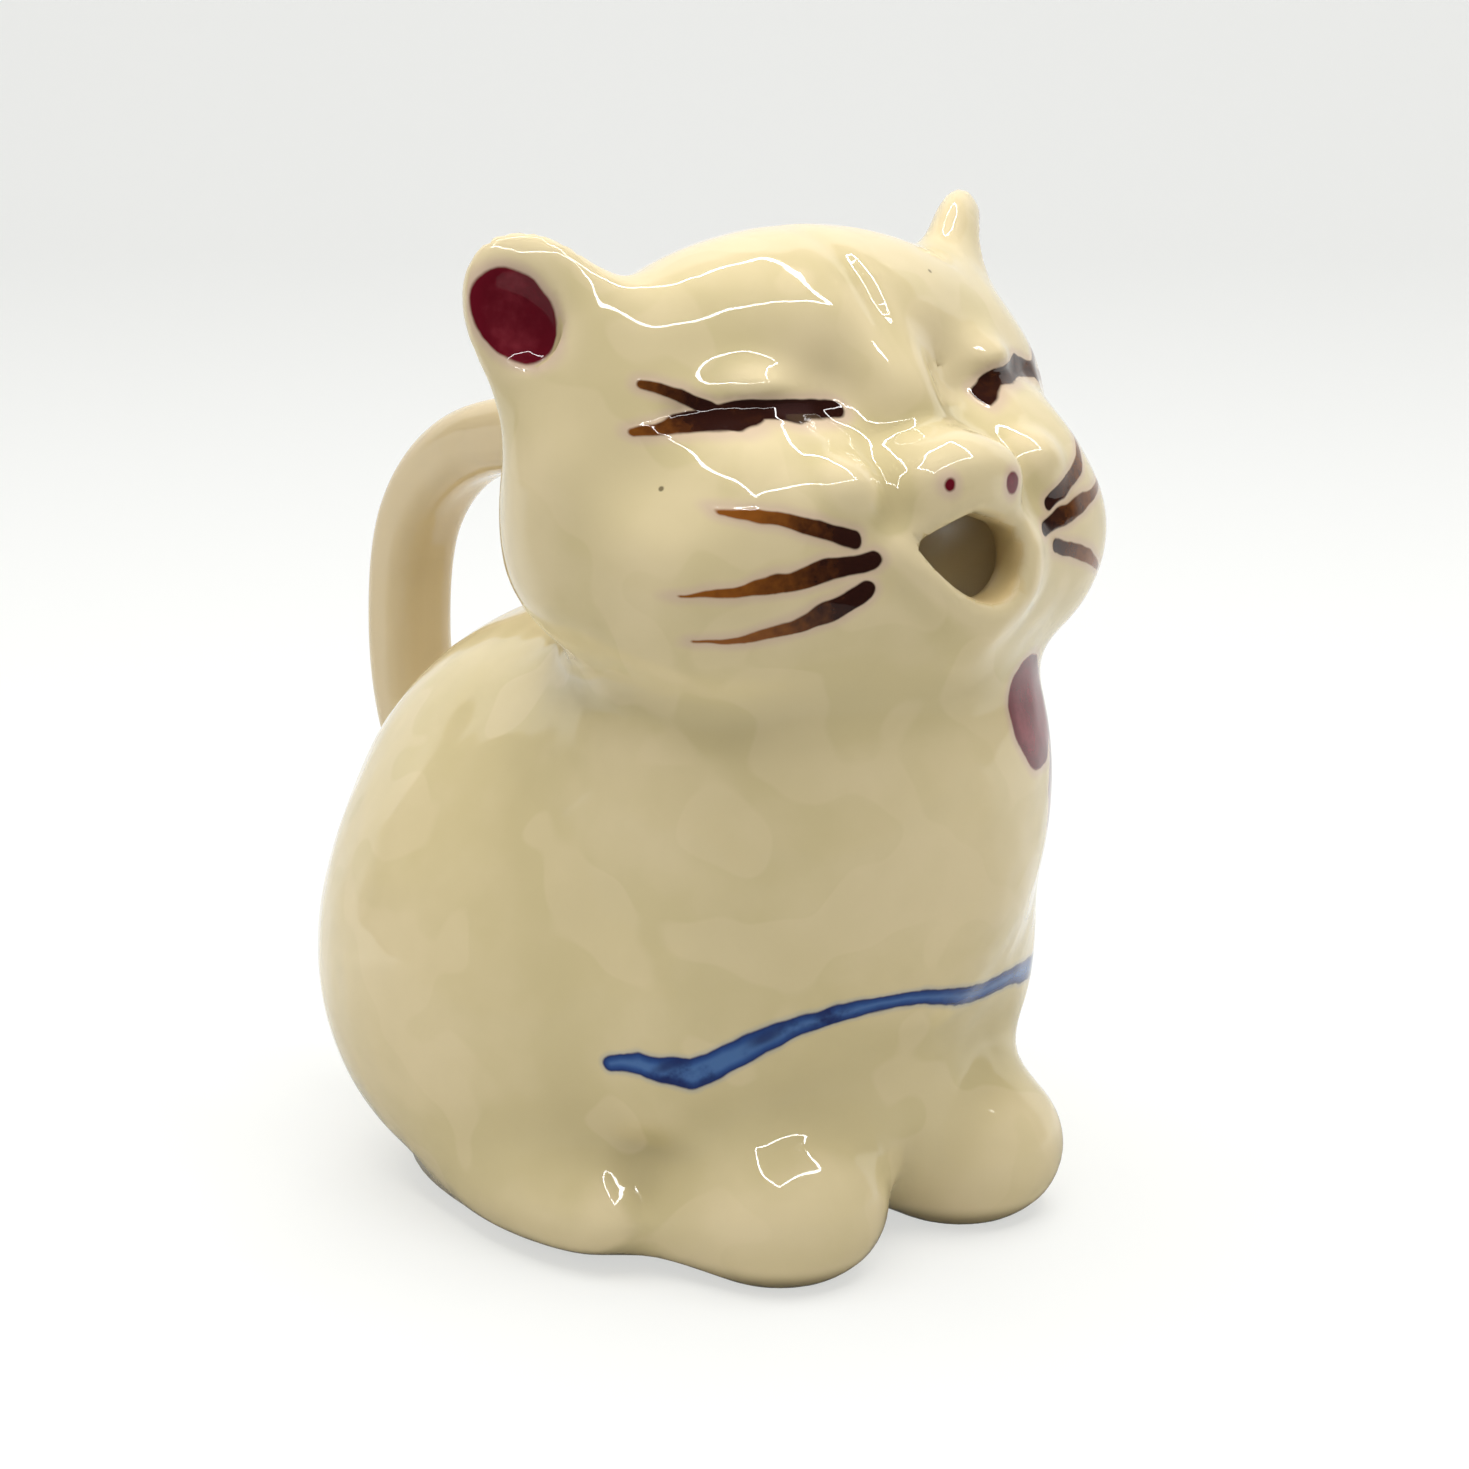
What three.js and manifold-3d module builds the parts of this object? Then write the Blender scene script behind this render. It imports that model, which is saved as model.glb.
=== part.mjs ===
// A ceramic creamer in the shape of a seated cat, in millimetres, +Z up.
// The cat faces -Y. The origin is on the ground, under the middle of the whole jug.
// The body is one hollow slip casting: rump, chest, legs, head and ears share a wall, the
// cat's open mouth is the spout, and a second opening behind the crown fills the jug.
// The handle is a strap that is cast by itself and stuck on with slip before firing.

import * as THREE from 'three';
import { mergeVertices } from 'three/addons/utils/BufferGeometryUtils.js';
import Module from 'manifold-3d';

const wasm = await Module();
wasm.setup();

// Wall, foot and joint

const WALL = 4;
const JOINT_GAP = 0.3;
const FOOT_CHAMFER = 1.8;
const FOOT_RING = 9;
const FOOT_RECESS_DEPTH = 1.2;

// Rounded forms of the body. Each is an ellipsoid: its centre, its half sizes and the width
// of the soft fold where it runs into the forms before it. Paired forms have a twin at -X.

const RUMP = { centre: [0, 3.5, 35.5], half: [37, 38.5, 36] };
const CHEST = { centre: [0, -27.5, 53], half: [30.5, 26.5, 36.5], fold: 16 };
const THIGH = { centre: [24.5, -0.5, 25], half: [18.5, 27, 23.5], fold: 12, paired: true };
const FORELEG = { centre: [16.5, -31, 28.5], half: [14, 10, 18], fold: 8, paired: true };
const FOREPAW = { centre: [14.5, -38.5, 8], half: [12.8, 13, 10.5], fold: 7, paired: true };
const HIND_PAW = { centre: [28, -17, 6.5], half: [10, 17, 6.5], fold: 9, paired: true };
const WEB = { centre: [0, -34, 17.5], half: [14, 11.5, 14], fold: 6 };
const FOOT = { centre: [0, 1, 2], half: [32, 29, 9], fold: 5 };

// Rounded forms of the head

const CRANIUM = { centre: [0, -23.5, 91], half: [38.5, 21.5, 27.5] };
const JAW = { centre: [0, -23.5, 82.5], half: [33.5, 27.5, 14.5], fold: 8 };
const CHEEK = { centre: [17.5, -37, 83.5], half: [16, 14.5, 16], fold: 7, paired: true };
const MUZZLE = { centre: [0, -43.6, 81], half: [17, 11.7, 13.5], fold: 6 };
const BRIDGE = { centre: [0, -36.5, 99], half: [6.5, 8.6, 8], fold: 5 };
const EAR = { centre: [30.5, -19, 108], half: [8.7, 4.2, 13.2], yaw: 35, lean: 35, fold: 7, paired: true };
const NECK_FOLD = 5;

const BODY_FORMS = [RUMP, CHEST, THIGH, FORELEG, FOREPAW, HIND_PAW, WEB, FOOT];
const HEAD_FORMS = [CRANIUM, JAW, CHEEK, MUZZLE, BRIDGE, EAR];
const DRAINED_BODY = [RUMP, CHEST, THIGH, FOOT];
const DRAINED_HEAD = [CRANIUM, JAW, CHEEK, MUZZLE];

// Nose, a small rounded block between the cheeks

const NOSE = { centre: [0, -50, 93.6], half: [8.2, 6.2, 4.2], corner: 3.2, fold: 4.5 };

// Soft swellings and hollows of the face: place, reach and height, negative for a hollow

const FACE_SWELLINGS = [
  { name: 'brow', centre: [22.5, -38, 105.9], reach: [6.5, 12, 3.6], height: 2.4 },
  { name: 'hollow above the brow', centre: [14, -38, 109.6], reach: [14, 14, 3.2], height: -1.3 },
  { name: 'cheek under the eye', centre: [19, -42, 93], reach: [10, 14, 5], height: 1.9 },
  { name: 'inner corner of the eye', centre: [8.5, -42, 102.5], reach: [3.4, 10, 3.8], height: -1.4 },
  { name: 'furrow between the brows', centre: [0, -38, 111], reach: [2.6, 14, 8], height: -1.4 },
  { name: 'chin', centre: [0, -54, 74], reach: [9, 7, 4], height: 0.8 },
  { name: 'whisker pad', centre: [13.5, -48, 90], reach: [4, 8, 4], height: 0.8 },
];

// Ear hollow: a shallow dish pressed into the front of each ear, placed along the ear's own axes

const EAR_DISH = { centre: [2, -3.6, 5.1], half: [4.4, 2.6, 6] };

// Spout: the open mouth, a low gable over a rounded bowl, and the rolled lip along the bowl's edge

const SPOUT_HALF_WIDTH = 7.1;
const SPOUT_TOP = 90;
const SPOUT_CORNERS = 86.7;
const SPOUT_BOTTOM = 79.6;
const LIP_RADIUS = 2;

// Filling opening: an oval behind the crown, square to the skin there

const FILL_WIDTH = 32;
const FILL_HEIGHT = 20;
const FILL_TILT = 50;
const FILL_CUT = 24;

// Handle: a strap with round corners that leaves the back of the head and lands on the rump

const HANDLE_WIDTH = 10.2;
const HANDLE_THICKNESS = 9.5;
const HANDLE_CORNER = 3.6;
const HANDLE_TOP = 88.8;
const HANDLE_REACH = 52.4;
const HANDLE_REACH_HEIGHT = 60;
const HANDLE_SHOULDER = 22;
const HANDLE_FOOT = 30;
const HANDLE_SINK = 6;

// Fineness of the skins: the spacing of the grid lines that they are sampled on

const BODY_STEP = 5;
const SIDE_STEP = 3.3;
const EAR_STEP = 2.7;
const FACE_STEP = 2.9;
const NOSE_STEP = 2.2;
const FOOT_STEP = 2.5;
const CAVITY_STEP = 7;

// Forms as distance functions: each is negative inside, and about the distance to its skin

const radians = THREE.MathUtils.degToRad;

function ellipsoid(point, form) {
  let x = (form.paired ? Math.abs(point.x) : point.x) - form.centre[0];
  let y = point.y - form.centre[1];
  let z = point.z - form.centre[2];
  if (form.yaw) {
    const turn = radians(form.yaw);
    [x, y] = [x * Math.cos(turn) + y * Math.sin(turn), y * Math.cos(turn) - x * Math.sin(turn)];
  }
  if (form.lean) {
    const turn = radians(form.lean);
    [x, z] = [x * Math.cos(turn) - z * Math.sin(turn), x * Math.sin(turn) + z * Math.cos(turn)];
  }
  const [a, b, c] = form.half;
  const level = Math.hypot(x / a, y / b, z / c);
  const slope = Math.hypot(x / a ** 2, y / b ** 2, z / c ** 2);
  return level * (level - 1) / Math.max(slope, 1e-9);
}

function roundedBlock(point, form) {
  const local = [point.x, point.y, point.z].map((value, axis) => (
    Math.abs(value - form.centre[axis]) - (form.half[axis] - form.corner)));
  const outside = Math.hypot(...local.map((value) => Math.max(value, 0)));
  return outside + Math.min(Math.max(...local), 0) - form.corner;
}

// The join of two forms, with a soft fold of the given width between them

function blend(first, second, fold) {
  const overlap = Math.max(fold - Math.abs(first - second), 0) / fold;
  return Math.min(first, second) - overlap * overlap * fold / 4;
}

function swelling(point, form) {
  const x = (Math.abs(point.x) - form.centre[0]) / form.reach[0];
  const y = (point.y - form.centre[1]) / form.reach[1];
  const z = (point.z - form.centre[2]) / form.reach[2];
  return form.height * Math.exp(-(x * x + y * y + z * z));
}

// Forms joined one after another, each with its own fold

function joined(point, forms) {
  const [first, ...others] = forms;
  return others.reduce((skin, form) => blend(skin, ellipsoid(point, form), form.fold), ellipsoid(point, first));
}

// The seated body, whose sides run straight down below the chamfer of the foot

function bodySkin(point, forms) {
  return joined(point.clone().setZ(Math.max(point.z, FOOT_CHAMFER)), forms);
}

// The whole outer skin of the casting. The foot turns in at 45 degrees over its chamfer.

function outerSkin(point) {
  let skin = blend(bodySkin(point, BODY_FORMS), joined(point, HEAD_FORMS), NECK_FOLD);
  skin = blend(skin, roundedBlock(point, NOSE), NOSE.fold);
  for (const form of FACE_SWELLINGS) {
    skin -= swelling(point, form);
  }
  skin += Math.max(FOOT_CHAMFER - point.z, 0);
  return Math.max(skin, -point.z - FOOT_CHAMFER);
}

// The inner skin follows the main forms one wall thickness in. Slip fills the paws, the ears
// and the nose, which are too narrow to drain.

function innerSkin(point) {
  const skin = blend(bodySkin(point, DRAINED_BODY), joined(point, DRAINED_HEAD), NECK_FOLD);
  return Math.max(skin, -point.z) + WALL;
}

// Skin meshing: a grid of lines is laid through the form, each cell that the skin crosses gets
// a vertex, neighbouring cells are joined by quads, and the vertices are drawn onto the skin.
// Where two stretches of skin cross one cell, each stretch has its own vertex.

function gridLines(from, to, stepAt) {
  const lines = [from];
  while (lines[lines.length - 1] < to) {
    const last = lines[lines.length - 1];
    lines.push(last + stepAt(last));
  }
  return lines;
}

function mirroredLines(to, stepAt) {
  const half = gridLines(stepAt(0) / 2, to, stepAt);
  return [...half.map((value) => -value).reverse(), ...half];
}

function gradientAt(skin, point) {
  const reach = 0.05;
  const probe = (axis) => {
    const ahead = point.clone();
    const behind = point.clone();
    ahead[axis] += reach;
    behind[axis] -= reach;
    return (skin(ahead) - skin(behind)) / (2 * reach);
  };
  return new THREE.Vector3(probe('x'), probe('y'), probe('z'));
}

function drawOntoSkin(skin, point) {
  const passes = 4;
  for (let pass = 0; pass < passes; pass += 1) {
    const slope = gradientAt(skin, point);
    point.addScaledVector(slope, -skin(point) / Math.max(slope.lengthSq(), 0.05));
  }
}

const CORNERS = [0, 1, 2, 3, 4, 5, 6, 7].map((bits) => [bits & 1, (bits >> 1) & 1, bits >> 2]);
const AXES = [0, 1, 2];
const edgeName = (from, axis) => from * 3 + axis;
const CELL_EDGES = CORNERS.flatMap((corner, from) => AXES.filter((axis) => corner[axis] === 0).map((axis) => (
  { name: edgeName(from, axis), from, to: from + 2 ** axis })));
const CELL_FACES = AXES.flatMap((axis) => [0, 1].map((side) => CELL_EDGES.filter((edge) => (
  CORNERS[edge.from][axis] === side && CORNERS[edge.to][axis] === side))));

// The crossed edges of a cell, in one list for each loop that the skin makes round the cell

function crossingLoops(inside) {
  const loopOf = new Map();
  for (const edge of CELL_EDGES.filter(({ from, to }) => inside[from] !== inside[to])) {
    loopOf.set(edge, [edge]);
  }
  const insideEnd = (edge) => (inside[edge.from] ? edge.from : edge.to);
  const link = (first, second) => {
    const kept = loopOf.get(first);
    const moved = loopOf.get(second);
    if (kept !== moved) {
      kept.push(...moved);
      moved.forEach((edge) => loopOf.set(edge, kept));
    }
  };
  for (const face of CELL_FACES) {
    const crossed = face.filter((edge) => loopOf.has(edge));
    for (const [index, first] of crossed.entries()) {
      for (const second of crossed.slice(index + 1)) {
        if (crossed.length === 2 || insideEnd(first) === insideEnd(second)) {
          link(first, second);
        }
      }
    }
  }
  return new Set(loopOf.values());
}

function forEachCell(counts, visit) {
  for (let i = 0; i < counts[0]; i += 1) {
    for (let j = 0; j < counts[1]; j += 1) {
      for (let k = 0; k < counts[2]; k += 1) {
        visit([i, j, k]);
      }
    }
  }
}

function skinGeometry(skin, lines) {
  const counts = lines.map((axis) => axis.length);
  const cellCounts = counts.map((count) => count - 1);
  const nodeIndex = ([i, j, k]) => (i * counts[1] + j) * counts[2] + k;
  const place = (node) => new THREE.Vector3(...node.map((line, axis) => lines[axis][line]));
  const values = new Float64Array(counts[0] * counts[1] * counts[2]);
  forEachCell(counts, (node) => {
    values[nodeIndex(node)] = skin(place(node));
  });

  const points = [];
  const vertexOf = new Map();
  const vertexKey = (cell, edge) => nodeIndex(cell) * CORNERS.length * AXES.length + edge;
  forEachCell(cellCounts, (cell) => {
    const nodes = CORNERS.map((corner) => corner.map((step, axis) => step + cell[axis]));
    const levels = nodes.map((node) => values[nodeIndex(node)]);
    const inside = levels.map((level) => level < 0);
    if (inside.every((value) => value === inside[0])) {
      return;
    }
    for (const loop of crossingLoops(inside)) {
      const middle = new THREE.Vector3();
      for (const edge of loop) {
        const share = levels[edge.from] / (levels[edge.from] - levels[edge.to]);
        middle.add(place(nodes[edge.from]).lerp(place(nodes[edge.to]), share));
        vertexOf.set(vertexKey(cell, edge.name), points.length);
      }
      points.push(middle.divideScalar(loop.length));
    }
  });
  points.forEach((point) => drawOntoSkin(skin, point));

  const triangles = [];
  const addQuad = (a, b, c, d) => {
    if (points[a].distanceToSquared(points[c]) < points[b].distanceToSquared(points[d])) {
      triangles.push(a, b, c, a, c, d);
    } else {
      triangles.push(a, b, d, b, c, d);
    }
  };
  forEachCell(cellCounts, (node) => {
    const here = values[nodeIndex(node)] < 0;
    for (const axis of AXES) {
      const ahead = node.map((line, index) => line + (index === axis ? 1 : 0));
      if (here !== values[nodeIndex(ahead)] < 0) {
        const left = (axis + 1) % 3;
        const right = (axis + 2) % 3;
        const vertexBehind = (stepLeft, stepRight) => {
          const cell = [...node];
          cell[left] -= stepLeft;
          cell[right] -= stepRight;
          const corner = stepLeft * 2 ** left + stepRight * 2 ** right;
          return vertexOf.get(vertexKey(cell, edgeName(corner, axis)));
        };
        const ring = [vertexBehind(1, 1), vertexBehind(0, 1), vertexBehind(0, 0), vertexBehind(1, 0)];
        addQuad(...(here ? ring : ring.reverse()));
      }
    }
  });
  const geometry = new THREE.BufferGeometry();
  geometry.setAttribute('position', new THREE.Float32BufferAttribute(points.flatMap((p) => p.toArray()), 3));
  geometry.setIndex(triangles);
  return geometry;
}

// Solids for cutting and joining

function solidFrom(geometry) {
  const bare = geometry.clone();
  bare.deleteAttribute('normal');
  bare.deleteAttribute('uv');
  const merged = mergeVertices(bare, 1e-4);
  return new wasm.Manifold(new wasm.Mesh({
    numProp: 3,
    vertProperties: new Float32Array(merged.attributes.position.array),
    triVerts: new Uint32Array(merged.index.array),
  }));
}

function geometryFrom(solid) {
  const mesh = solid.getMesh();
  const geometry = new THREE.BufferGeometry();
  geometry.setAttribute('position', new THREE.Float32BufferAttribute(mesh.vertProperties, 3));
  geometry.setIndex([...mesh.triVerts]);
  geometry.computeVertexNormals();
  return geometry;
}

// The grid covers every form, with closer lines through the face, the ears and the foot. The
// lowest rows of cells are centred on both edges of the chamfer, which keeps them crisp.

const allForms = [...BODY_FORMS, ...HEAD_FORMS, NOSE];
const margin = 1.5 * WALL;
const sideLimit = Math.max(...allForms.map((form) => form.centre[0] + form.half[0])) + margin;
const frontLimit = Math.min(...allForms.map((form) => form.centre[1] - form.half[1])) - margin;
const backLimit = Math.max(...allForms.map((form) => form.centre[1] + form.half[1])) + margin;
const topLimit = Math.max(...allForms.map((form) => form.centre[2] + form.half[2])) + margin;
const faceBack = CHEEK.centre[1];
const headBottom = JAW.centre[2] - JAW.half[2];
const footTop = FOREPAW.centre[2];

function stepAlongY(y) {
  if (y < faceBack) {
    return FACE_STEP;
  }
  return Math.abs(y - EAR.centre[1]) < EAR.half[0] ? EAR_STEP : BODY_STEP;
}

function stepAlongZ(z) {
  if (z > headBottom) {
    return Math.abs(z - NOSE.centre[2]) < 2 * NOSE.half[2] ? NOSE_STEP : FACE_STEP;
  }
  if (z < FOOT_CHAMFER) {
    return FOOT_CHAMFER;
  }
  return z < footTop ? FOOT_STEP : BODY_STEP;
}

const skinLines = [
  mirroredLines(sideLimit, (x) => (x > EAR.centre[0] - EAR.half[0] ? EAR_STEP : SIDE_STEP)),
  gridLines(frontLimit, backLimit, stepAlongY),
  gridLines(-1.5 * FOOT_CHAMFER, topLimit, stepAlongZ),
];
const cavityLines = [
  mirroredLines(sideLimit, () => CAVITY_STEP),
  gridLines(frontLimit, backLimit, () => CAVITY_STEP),
  gridLines(-margin, topLimit, () => CAVITY_STEP),
];

// Everything below the ground, and the recess that leaves a foot ring

function groundCut() {
  const size = 300;
  const block = new THREE.BoxGeometry(size, size, size);
  block.translate(0, 0, -size / 2);
  return solidFrom(block);
}

function ovalPrism(width, height, length) {
  const oval = new THREE.Shape();
  oval.absellipse(0, 0, width / 2, height / 2, 0, Math.PI * 2);
  const prism = new THREE.ExtrudeGeometry(oval, { depth: length, bevelEnabled: false, curveSegments: 16 });
  prism.translate(0, 0, -length / 2);
  return prism;
}

function footRecess() {
  const prism = ovalPrism(2 * (FOOT.half[0] - FOOT_RING), 2 * (FOOT.half[1] - FOOT_RING), 2 * FOOT_RECESS_DEPTH);
  prism.translate(FOOT.centre[0], FOOT.centre[1], 0);
  return solidFrom(prism);
}

// The lower edge of the mouth, as a curve from the cat's left corner down and up to the right
// one. It bulges half as far as a round bowl would.

function bowlEdge(widening) {
  const width = SPOUT_HALF_WIDTH + widening;
  const depth = SPOUT_CORNERS - SPOUT_BOTTOM + widening;
  const bulge = Math.SQRT1_2;
  const bottom = SPOUT_CORNERS - depth;
  const edge = new THREE.CurvePath();
  for (const [from, to] of [[width, 0], [0, -width]]) {
    const side = Math.sign(from + to);
    edge.add(new THREE.QuadraticBezierCurve(
      new THREE.Vector2(from, from === 0 ? bottom : SPOUT_CORNERS),
      new THREE.Vector2(side * width * bulge, SPOUT_CORNERS - depth * bulge),
      new THREE.Vector2(to, to === 0 ? bottom : SPOUT_CORNERS),
    ));
  }
  return edge;
}

// The spout's outline is drawn from the front and runs back along Y into the hollow

function spoutPassage() {
  const outline = new THREE.Shape([...bowlEdge(0).getPoints(6), new THREE.Vector2(0, SPOUT_TOP)]);
  const depth = faceBack - frontLimit;
  const prism = new THREE.ExtrudeGeometry(outline, { depth, bevelEnabled: false });
  prism.rotateX(Math.PI / 2);
  prism.translate(0, faceBack, 0);
  return solidFrom(prism);
}

// The lip is a round bar that follows the mouth's lower edge on the skin of the muzzle

function spoutLip() {
  const onMuzzle = ({ x, y: height }) => {
    const point = new THREE.Vector3(x, frontLimit, height);
    const marches = 60;
    for (let march = 0; march < marches; march += 1) {
      point.y += outerSkin(point) / 2;
    }
    return point;
  };
  const route = new THREE.CatmullRomCurve3(bowlEdge(LIP_RADIUS / 2).getPoints(4).map(onMuzzle));
  const section = new THREE.Shape();
  section.absarc(0, 0, LIP_RADIUS, 0, Math.PI * 2);
  return solidFrom(new THREE.ExtrudeGeometry(section, { steps: 16, curveSegments: 4, extrudePath: route }));
}

// Each ear's hollow is an ellipsoid that lies against the front of the ear and turns with it

function earHollow(side) {
  const dish = new THREE.SphereGeometry(1, 16, 12);
  dish.scale(...EAR_DISH.half);
  dish.translate(side * EAR_DISH.centre[0], EAR_DISH.centre[1], EAR_DISH.centre[2]);
  dish.rotateY(side * radians(EAR.lean));
  dish.rotateZ(side * radians(EAR.yaw));
  dish.translate(side * EAR.centre[0], EAR.centre[1], EAR.centre[2]);
  return solidFrom(dish);
}

// The filling oval stands square to the cranium at its tilt

function fillPassage() {
  const tilt = radians(FILL_TILT);
  const prism = ovalPrism(FILL_WIDTH, FILL_HEIGHT, FILL_CUT);
  prism.rotateX(-tilt);
  prism.translate(
    0,
    CRANIUM.centre[1] + CRANIUM.half[1] * Math.sin(tilt),
    CRANIUM.centre[2] + CRANIUM.half[2] * Math.cos(tilt),
  );
  return solidFrom(prism);
}

// Handle strap, swept along its curve and cut off where it meets the casting

function handleStrap() {
  const headBack = CRANIUM.centre[1] + CRANIUM.half[1];
  const rumpBack = RUMP.centre[1] + RUMP.half[1];
  const route = new THREE.CatmullRomCurve3([
    new THREE.Vector3(0, headBack - HANDLE_SINK, HANDLE_TOP),
    new THREE.Vector3(0, headBack + HANDLE_SHOULDER, HANDLE_TOP + 0.2),
    new THREE.Vector3(0, HANDLE_REACH - 13, HANDLE_TOP - 5),
    new THREE.Vector3(0, HANDLE_REACH - 3, HANDLE_TOP - 15),
    new THREE.Vector3(0, HANDLE_REACH, HANDLE_REACH_HEIGHT),
    new THREE.Vector3(0, HANDLE_REACH - 2, HANDLE_REACH_HEIGHT - 14),
    new THREE.Vector3(0, rumpBack, HANDLE_FOOT + 5),
    new THREE.Vector3(0, rumpBack - HANDLE_SINK, HANDLE_FOOT),
  ]);
  const x = HANDLE_WIDTH / 2;
  const y = HANDLE_THICKNESS / 2;
  const r = HANDLE_CORNER;
  const section = new THREE.Shape();
  section.absarc(x - r, y - r, r, 0, Math.PI / 2);
  section.absarc(r - x, y - r, r, Math.PI / 2, Math.PI);
  section.absarc(r - x, r - y, r, Math.PI, Math.PI * 1.5);
  section.absarc(x - r, r - y, r, Math.PI * 1.5, Math.PI * 2);
  const strap = new THREE.ExtrudeGeometry(section, { steps: 36, curveSegments: 2, extrudePath: route });
  return solidFrom(strap);
}

const outer = solidFrom(skinGeometry(outerSkin, skinLines));
const cavity = solidFrom(skinGeometry(innerSkin, cavityLines));
const clearance = solidFrom(skinGeometry((point) => outerSkin(point) - JOINT_GAP, skinLines));

const casting = outer
  .add(spoutLip())
  .subtract(earHollow(1))
  .subtract(earHollow(-1))
  .subtract(groundCut())
  .subtract(footRecess())
  .subtract(cavity)
  .subtract(spoutPassage())
  .subtract(fillPassage());
const strap = handleStrap().subtract(clearance);

const creamGlaze = new THREE.MeshStandardMaterial({ color: 0xe2d6ad, roughness: 0.15, metalness: 0 });

function piece(name, solid) {
  const mesh = new THREE.Mesh(geometryFrom(solid), creamGlaze.clone());
  mesh.name = name;
  return mesh;
}

const creamer = new THREE.Group();
creamer.name = 'creamer';
creamer.add(piece('cat_body', casting));
creamer.add(piece('handle', strap));

export default creamer;
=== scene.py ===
"""A ceramic creamer in the shape of a seated cat: a hollow casting with a strap handle.

The casting and the handle are modelled as blended clay forms in millimetres, and sampled to
fine skins. The glaze and the painted strokes are procedural and read Object coordinates.
"""
import math

import bpy
import numpy as np
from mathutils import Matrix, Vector


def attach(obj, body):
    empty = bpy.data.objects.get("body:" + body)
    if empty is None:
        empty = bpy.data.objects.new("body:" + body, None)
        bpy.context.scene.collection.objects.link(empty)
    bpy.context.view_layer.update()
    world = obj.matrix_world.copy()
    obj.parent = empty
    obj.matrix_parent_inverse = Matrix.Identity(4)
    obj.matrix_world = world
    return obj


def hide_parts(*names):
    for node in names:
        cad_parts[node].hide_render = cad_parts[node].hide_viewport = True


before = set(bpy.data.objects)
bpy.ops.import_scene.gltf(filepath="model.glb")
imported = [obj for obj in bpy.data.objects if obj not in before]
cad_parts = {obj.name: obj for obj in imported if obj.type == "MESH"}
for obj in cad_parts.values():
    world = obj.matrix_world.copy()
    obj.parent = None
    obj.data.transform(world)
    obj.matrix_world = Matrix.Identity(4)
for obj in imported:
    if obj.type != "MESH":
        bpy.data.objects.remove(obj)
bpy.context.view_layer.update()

# The casting
# One hollow body of cream earthenware, cast from liquid clay in a plaster mould. Its mouth is
# the spout, and an oval behind the crown fills it. The face, ears, bow and band are brushed on
# by hand in brown, red and blue under a clear gloss glaze.

MM = 0.001
WALL = 4.0
SHARP_EDGE = 0.5
FOOT_CHAMFER = 1.8
FOOT_ROUND = 0.4

RUMP = {"centre": (0, 3.5, 35.5), "half": (37, 38.5, 36)}
CHEST = {"centre": (0, -27.5, 53), "half": (30.5, 26.5, 36.5), "fold": 16}
THIGH = {"centre": (24.5, -0.5, 25), "half": (18.4, 27, 23.5), "fold": 12, "paired": True}
FORELEG = {"centre": (16.5, -31, 28.5), "half": (14, 10, 18), "fold": 8, "paired": True}
FOREPAW = {"centre": (14.5, -38.5, 8), "half": (12.8, 13, 10.5), "fold": 7, "paired": True}
HIND_PAW = {"centre": (28, -17, 6.5), "half": (10, 17, 6.5), "fold": 9, "paired": True}
WEB = {"centre": (0, -34, 17.5), "half": (14, 11.5, 14), "fold": 6}
FOOT = {"centre": (0, 1, 2), "half": (32, 29, 9), "fold": 5}
CRANIUM = {"centre": (0, -23.5, 91), "half": (38.5, 21.5, 27.5)}
JAW = {"centre": (0, -23.5, 82.5), "half": (33.5, 27.5, 14.5), "fold": 8}
CHEEK = {"centre": (17.5, -37, 83.5), "half": (16, 14.5, 16), "fold": 7, "paired": True}
MUZZLE = {"centre": (0, -43.6, 81), "half": (18.2, 11.8, 13.8), "fold": 6}
BRIDGE = {"centre": (0, -36.5, 99), "half": (6.5, 8.6, 8), "fold": 5}
NOSE_TOP = {"centre": (0, -50.0, 94.2), "half": (6.0, 6.4, 4.4), "fold": 2.5}
CHEEK_BUMP = {"centre": (14.0, -47.0, 92.6), "half": (3.4, 4.4, 3.6), "fold": 2.2, "paired": True}
EAR = {"centre": (30.5, -19, 108), "half": (8.5, 4, 13), "fold": 7, "paired": True, "yaw": 35, "lean": 35}
NECK_FOLD = 5

# Soft swellings of the clay: place, reach and height in millimetres, negative for a hollow.

SWELLINGS = {
    "brow": ((17.6, -42, 104), (3.6, 8, 2.6), 1.9),
    "hollow above the brow": ((13, -38, 105), (10, 16, 6), -1.8),
    "outer corner of the eye": ((29, -36, 93), (7, 12, 7), -1.6),
    "cheek under the eye": ((17, -42, 93), (6.5, 13, 4.2), 1.5),
    "inner corner of the eye": ((8.5, -42, 102.5), (3.4, 10, 3.8), -1.4),
    "furrow between the brows": ((0, -38, 111), (1.8, 14, 8), -0.8),
    "chin": ((0, -54, 74), (9, 7, 4), 0.8),
}

# Creases drawn into the clay, as seen from the front: points, width and depth.

CREASES = {
    "closed eye": (((10.4, 100.2), (17, 101.8), (25.5, 100.6)), 1.5, 0.9),
    "between the paws": (((28.4, 15), (29.2, 11), (30.6, 4)), 2.6, 1.1),
    "hind toe": (((33.4, 15), (35.0, 12), (36.4, 7)), 1.4, 0.7),
}

CREASE_FRONT = -24
CREASE_FADE = 8

TEMPLE_TILT = 62
TEMPLE_TURN = 40
TEMPLE_DEPTH = 2.2
TEMPLE_FOLD = 3

NOSE_CENTRE = (0, -49.8, 92.8)
NOSE_HALF = (7.8, 6.2, 3.7)
NOSE_CORNER = 3.6
NOSE_FOLD = 4.0

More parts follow.
